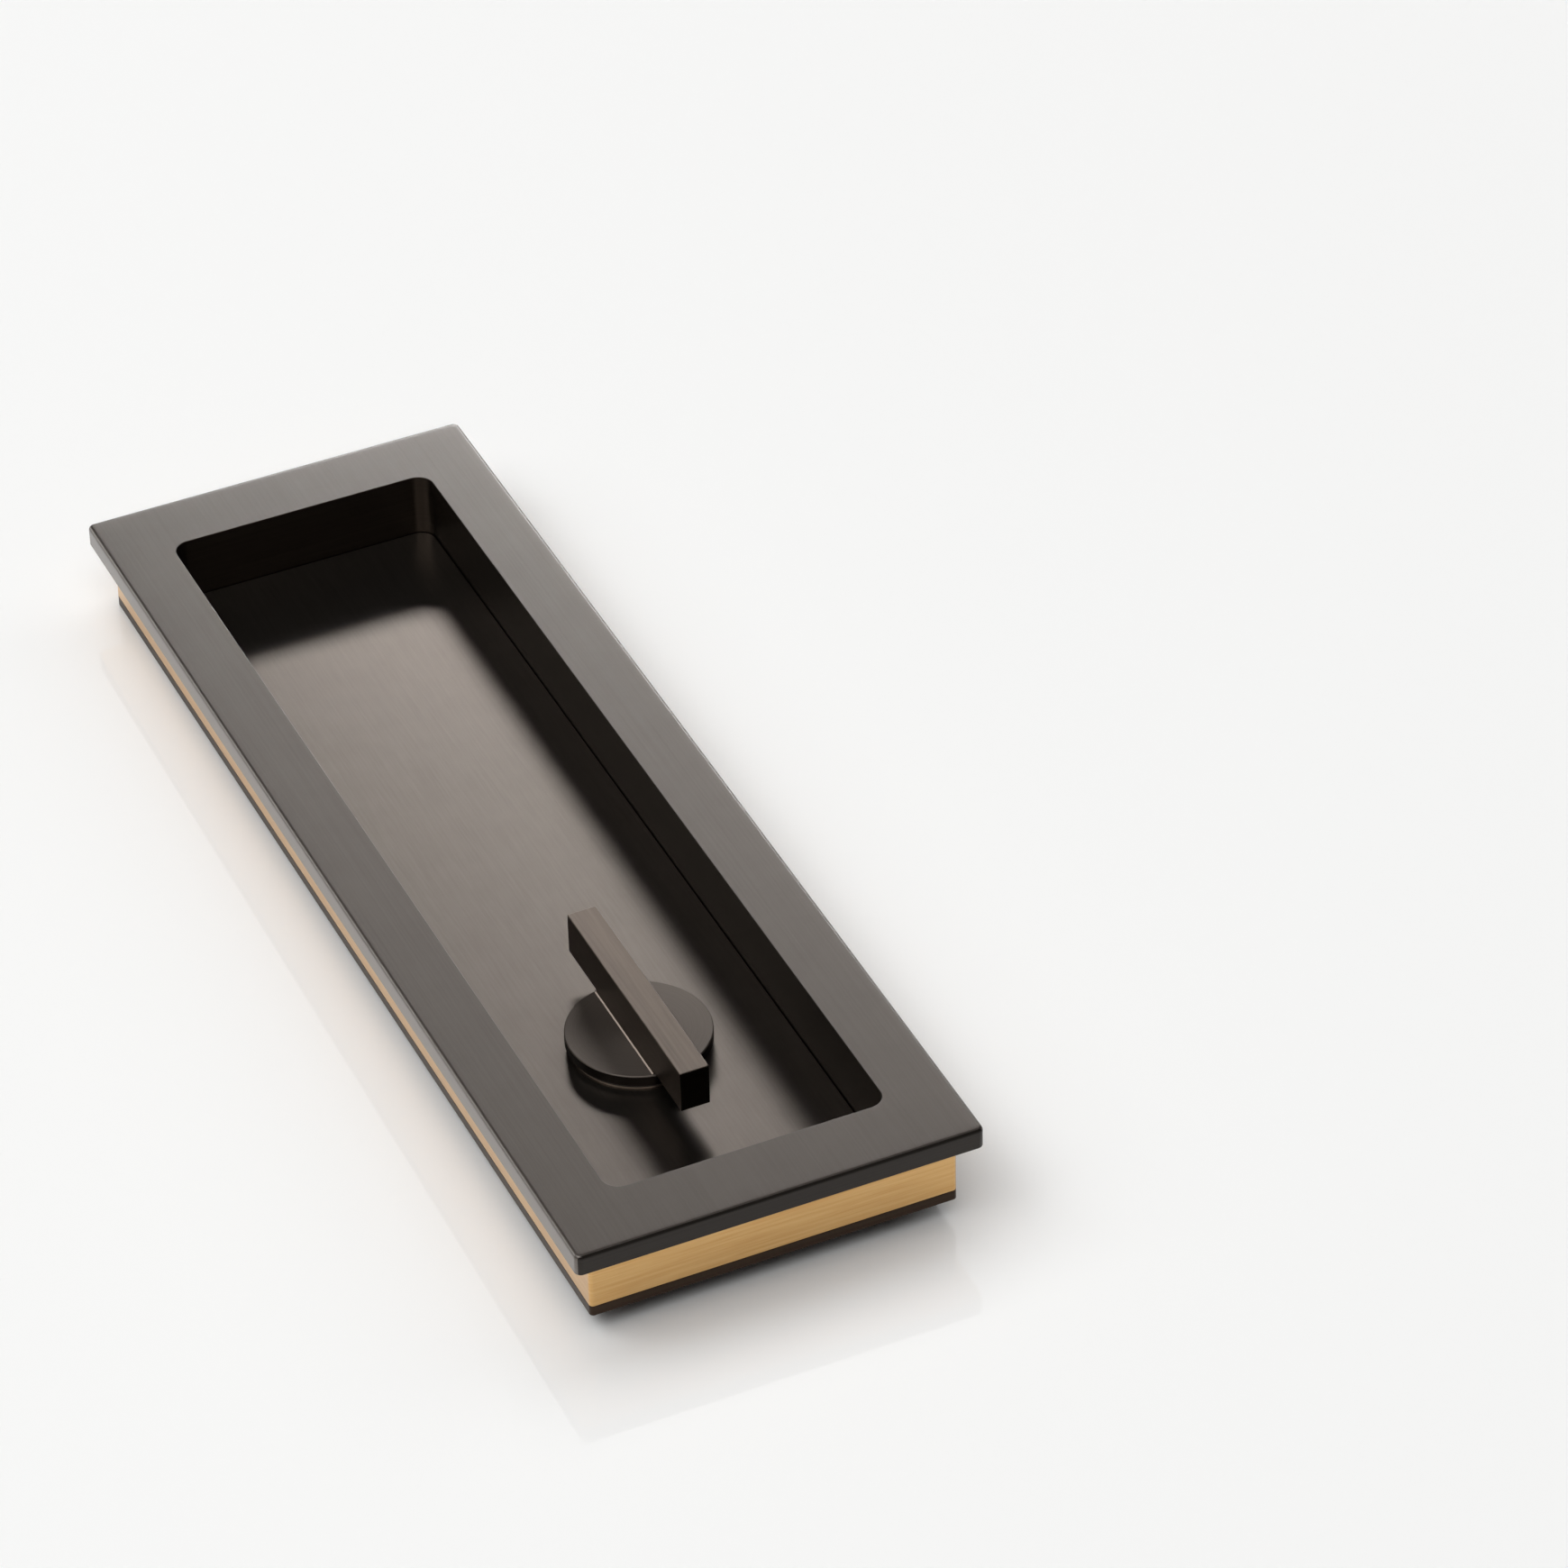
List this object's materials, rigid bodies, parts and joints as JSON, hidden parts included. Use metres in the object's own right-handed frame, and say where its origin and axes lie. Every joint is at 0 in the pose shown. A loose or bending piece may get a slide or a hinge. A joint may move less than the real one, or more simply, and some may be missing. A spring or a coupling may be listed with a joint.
{
  "type": "recessed flush pull",
  "caption": "Rectangular recessed flush pull for a sliding door, with a finger recess and a bladed thumb turn on its floor that drives a privacy lock.",
  "frame": {"origin": "middle of the plane where the flange seats on the door's face", "axes": "+Z out of the door, +Y along the pull away from the thumb turn, +X across"},
  "size_m": [0.059, 0.18, 0.0159],
  "materials": {
    "frame": "dark bronze, brushed along its length, outer walls left raw brass",
    "base_plate": "dark bronze, satin brushed",
    "screws": "turned brass",
    "turn_bush": "dark bronze, turned",
    "bush_nut": "turned brass",
    "thrust_washer": "moulded nylon",
    "turn": "dark bronze, brushed",
    "spring_steel": "phosphated spring steel"
  },
  "bodies": {
    "body": {"frame": "frame", "base_plate": "base_plate", "base_plate_screws": "screws", "turn_bush": "turn_bush", "bush_nut": "bush_nut", "thrust_washer": "thrust_washer"},
    "turn": {"turn_disc": "turn", "turn_blade": "turn", "blade_screws": "screws", "spring_washer": "spring_steel", "plain_washer": "spring_steel", "retaining_ring": "spring_steel"}
  },
  "joints": [
    {"name": "thumb_turn", "type": "hinge", "parent": "body", "child": "turn", "pos_m": [0, -0.043, 0], "axis": [0, 0, 1], "range_deg": [-90, 90]}
  ]
}
